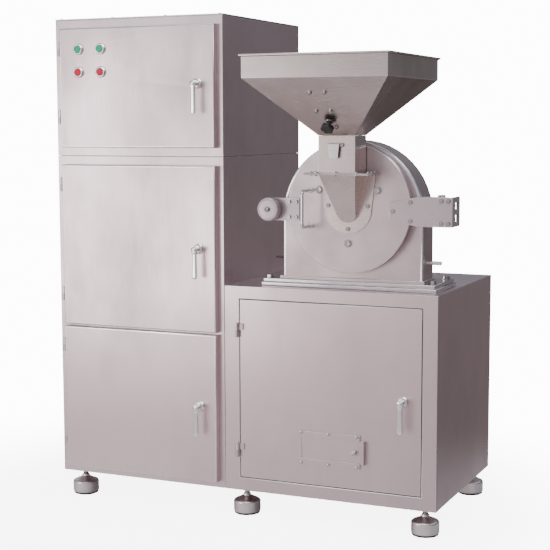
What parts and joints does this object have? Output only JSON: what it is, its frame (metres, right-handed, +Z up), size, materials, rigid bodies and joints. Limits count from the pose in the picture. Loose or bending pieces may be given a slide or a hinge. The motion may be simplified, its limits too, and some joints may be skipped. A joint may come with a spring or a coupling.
{
  "type": "hammer mill",
  "caption": "Stainless hammer mill with a square feed hopper on a low cabinet, beside a tall control and dust collector cabinet, on levelling feet.",
  "frame": {"origin": "on the floor under the middle of the machine's box", "axes": "+Z up, -Y towards the front with the doors, +X towards the mill's side"},
  "size_m": [1.3876, 0.9036, 1.6478],
  "materials": {
    "stainless": "brushed",
    "satin_steel": "satin",
    "chrome": "polished",
    "black_plastic": "satin",
    "rubber": "matte",
    "green_plastic": "gloss",
    "red_plastic": "gloss",
    "cast_iron": "machined",
    "motor_paint": "gloss",
    "filter_cloth": "matte"
  },
  "bodies": {
    "frame": {"base_lower_plate": "satin_steel", "base_upper_plate": "satin_steel", "bearing_housing": "cast_iron", "belt_guard": "stainless", "chamber_hinge_pin": "satin_steel", "collecting_bin": "stainless", "drive_belt": "rubber", "dust_drawer": "stainless", "electrical_plate": "stainless", "fan_motor": "cast_iron", "filter_cartridge": "filter_cloth", "front_left_foot": "satin_steel", "front_middle_foot": "satin_steel", "front_right_foot": "satin_steel", "mill_cabinet_shell": "stainless", "mill_casing": "satin_steel", "motor": "motor_paint", "rear_left_foot": "satin_steel", "rear_middle_foot": "satin_steel", "rear_panel": "stainless", "rear_right_foot": "satin_steel", "screen_ring": "stainless", "tall_lower_shell": "stainless", "tall_upper_shell": "stainless", "top_cover": "stainless"},
    "upper_door": {"upper_door": "stainless"},
    "middle_door": {"middle_door": "stainless"},
    "lower_door": {"lower_door": "stainless"},
    "mill_cabinet_door": {"mill_cabinet_door": "stainless", "hatch_frame": "stainless"},
    "upper_door_lever": {"upper_door_lever": "chrome"},
    "middle_door_lever": {"middle_door_lever": "chrome"},
    "lower_door_lever": {"lower_door_lever": "chrome"},
    "mill_door_lever": {"mill_door_lever": "chrome"},
    "green_button_left": {"green_button_left": "green_plastic"},
    "green_button_right": {"green_button_right": "green_plastic"},
    "red_button_left": {"red_button_left": "red_plastic"},
    "red_button_right": {"red_button_right": "red_plastic"},
    "chamber_door": {"chamber_door": "satin_steel", "toothed_disc": "cast_iron", "feed_chute": "satin_steel", "throat": "satin_steel", "hopper": "satin_steel", "pull_handle": "chrome", "clamp_plate": "satin_steel", "hinge_arm": "satin_steel", "hinge_bracket": "satin_steel"},
    "clamp": {"clamp_knob": "satin_steel", "clamp_screw": "satin_steel"},
    "feed_gate": {"feed_gate": "satin_steel"},
    "throttle_knob": {"throttle_knob": "black_plastic"},
    "hatch_slide": {"hatch_slide": "stainless"},
    "rotor": {"rotor": "cast_iron", "mill_pulley": "cast_iron"},
    "hammer_1": {"hammer_1": "cast_iron"},
    "hammer_2": {"hammer_2": "cast_iron"},
    "hammer_3": {"hammer_3": "cast_iron"},
    "hammer_4": {"hammer_4": "cast_iron"},
    "motor_pulley": {"motor_pulley": "cast_iron"},
    "fan_impeller": {"fan_impeller": "cast_iron"}
  },
  "joints": [
    {"name": "upper_door_hinge", "type": "hinge", "parent": "frame", "child": "upper_door", "pos_m": [-0.67333, -0.1927, 1.413], "axis": [0, 0, -1], "range_deg": [0, 115]},
    {"name": "upper_lever_turn", "type": "hinge", "parent": "upper_door", "child": "upper_door_lever", "pos_m": [-0.14433, -0.2047, 1.422], "axis": [0, 1, 0], "range_deg": [0, 90]},
    {"name": "middle_door_hinge", "type": "hinge", "parent": "frame", "child": "middle_door", "pos_m": [-0.67333, -0.1927, 0.8845], "axis": [0, 0, -1], "range_deg": [0, 115]},
    {"name": "middle_lever_turn", "type": "hinge", "parent": "middle_door", "child": "middle_door_lever", "pos_m": [-0.14433, -0.2047, 0.8875], "axis": [0, 1, 0], "range_deg": [0, 90]},
    {"name": "lower_door_hinge", "type": "hinge", "parent": "frame", "child": "lower_door", "pos_m": [-0.67333, -0.1927, 0.3585], "axis": [0, 0, -1], "range_deg": [0, 115]},
    {"name": "lower_lever_turn", "type": "hinge", "parent": "lower_door", "child": "lower_door_lever", "pos_m": [-0.14433, -0.2047, 0.3655], "axis": [0, 1, 0], "range_deg": [0, 90]},
    {"name": "mill_cabinet_door_hinge", "type": "hinge", "parent": "frame", "child": "mill_cabinet_door", "pos_m": [-0.01772, -0.1882, 0.4305], "axis": [0, 0, -1], "range_deg": [0, 110]},
    {"name": "mill_lever_turn", "type": "hinge", "parent": "mill_cabinet_door", "child": "mill_door_lever", "pos_m": [0.55027, -0.1802, 0.4315], "axis": [0, 1, 0], "range_deg": [0, 90]},
    {"name": "hatch_slide_travel", "type": "slide", "parent": "mill_cabinet_door", "child": "hatch_slide", "axis": [1, 0, 0], "range_m": [0, 0.15]},
    {"name": "green_button_left_press", "type": "slide", "parent": "upper_door", "child": "green_button_left", "axis": [0, 1, 0], "range_m": [0, 0.004], "stiffness_N_per_m": 400},
    {"name": "green_button_right_press", "type": "slide", "parent": "upper_door", "child": "green_button_right", "axis": [0, 1, 0], "range_m": [0, 0.004], "stiffness_N_per_m": 400},
    {"name": "red_button_left_press", "type": "slide", "parent": "upper_door", "child": "red_button_left", "axis": [0, 1, 0], "range_m": [0, 0.004], "stiffness_N_per_m": 400},
    {"name": "red_button_right_press", "type": "slide", "parent": "upper_door", "child": "red_button_right", "axis": [0, 1, 0], "range_m": [0, 0.004], "stiffness_N_per_m": 400},
    {"name": "chamber_door_hinge", "type": "hinge", "parent": "frame", "child": "chamber_door", "pos_m": [0.64082, -0.0952, 1.0292], "axis": [0, 0, 1], "range_deg": [0, 110]},
    {"name": "clamp_turn", "type": "hinge", "parent": "chamber_door", "child": "clamp", "pos_m": [0.09582, -0.1802, 1.0212], "axis": [0, 1, 0], "continuous": true},
    {"name": "feed_gate_pull", "type": "slide", "parent": "chamber_door", "child": "feed_gate", "axis": [0, -1, 0], "range_m": [0, 0.08]},
    {"name": "throttle_knob_turn", "type": "hinge", "parent": "chamber_door", "child": "throttle_knob", "pos_m": [0.34683, -0.29605, 1.29513], "axis": [0, -0.6615, -0.75], "continuous": true},
    {"name": "rotor_spin", "type": "hinge", "parent": "frame", "child": "rotor", "pos_m": [0.35382, -0.0802, 1.0292], "axis": [0, 1, 0], "continuous": true},
    {"name": "hammer_1_swing", "type": "hinge", "parent": "rotor", "child": "hammer_1", "pos_m": [0.41393, -0.0742, 1.0893], "axis": [0, 1, 0], "range_deg": [-75, 12]},
    {"name": "hammer_2_swing", "type": "hinge", "parent": "rotor", "child": "hammer_2", "pos_m": [0.29372, -0.0742, 1.0893], "axis": [0, 1, 0], "range_deg": [-12, 75]},
    {"name": "hammer_3_swing", "type": "hinge", "parent": "rotor", "child": "hammer_3", "pos_m": [0.29372, -0.0742, 0.9691], "axis": [0, 1, 0], "range_deg": [-40, 60]},
    {"name": "hammer_4_swing", "type": "hinge", "parent": "rotor", "child": "hammer_4", "pos_m": [0.41393, -0.0742, 0.9691], "axis": [0, 1, 0], "range_deg": [-60, 40]},
    {"name": "motor_spin", "type": "hinge", "parent": "frame", "child": "motor_pulley", "pos_m": [0.35382, 0.1198, 0.243], "axis": [0, 1, 0], "continuous": true},
    {"name": "fan_spin", "type": "hinge", "parent": "frame", "child": "fan_impeller", "pos_m": [-0.37983, 0.1348, 1.115], "axis": [0, 0, 1], "continuous": true}
  ],
  "couplings": [
    {"joint": "motor_spin", "follows": "rotor_spin", "ratio": 0.7333}
  ]
}
